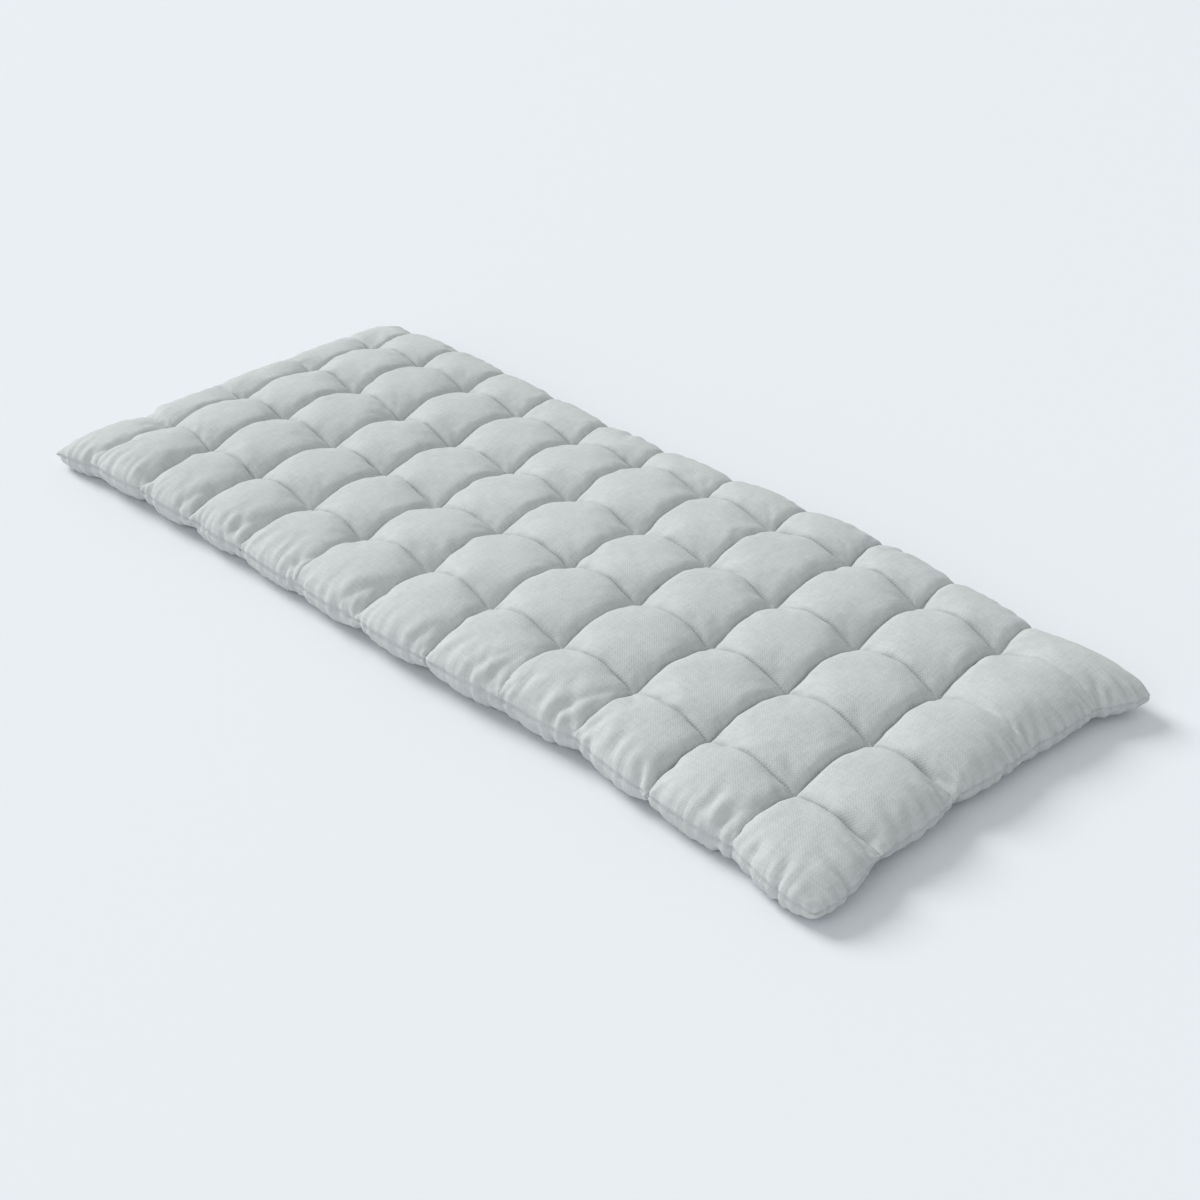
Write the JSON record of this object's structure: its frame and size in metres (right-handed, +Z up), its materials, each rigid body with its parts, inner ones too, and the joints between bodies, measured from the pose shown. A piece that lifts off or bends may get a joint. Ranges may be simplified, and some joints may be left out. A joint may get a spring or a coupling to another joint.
{
  "type": "tufted bench cushion",
  "caption": "Light grey cotton bench cushion: two plain panels joined in a knife-edge seam, filled, and tied through in a grid of small stitched tufts.",
  "frame": {"origin": "on the surface that the cushion lies on, under the middle of its outline", "axes": "+X along the cushion towards its near end, +Y across it towards its back side, +Z up through its thickness"},
  "size_m": [1.1855, 0.5139, 0.069],
  "materials": {
    "cloth": "matte plain-woven cotton, light grey, with a fine even weave",
    "thread": "matte sewing thread a little darker than the cloth"
  },
  "bodies": {
    "root": {"cushion": "cloth"}
  },
  "joints": []
}
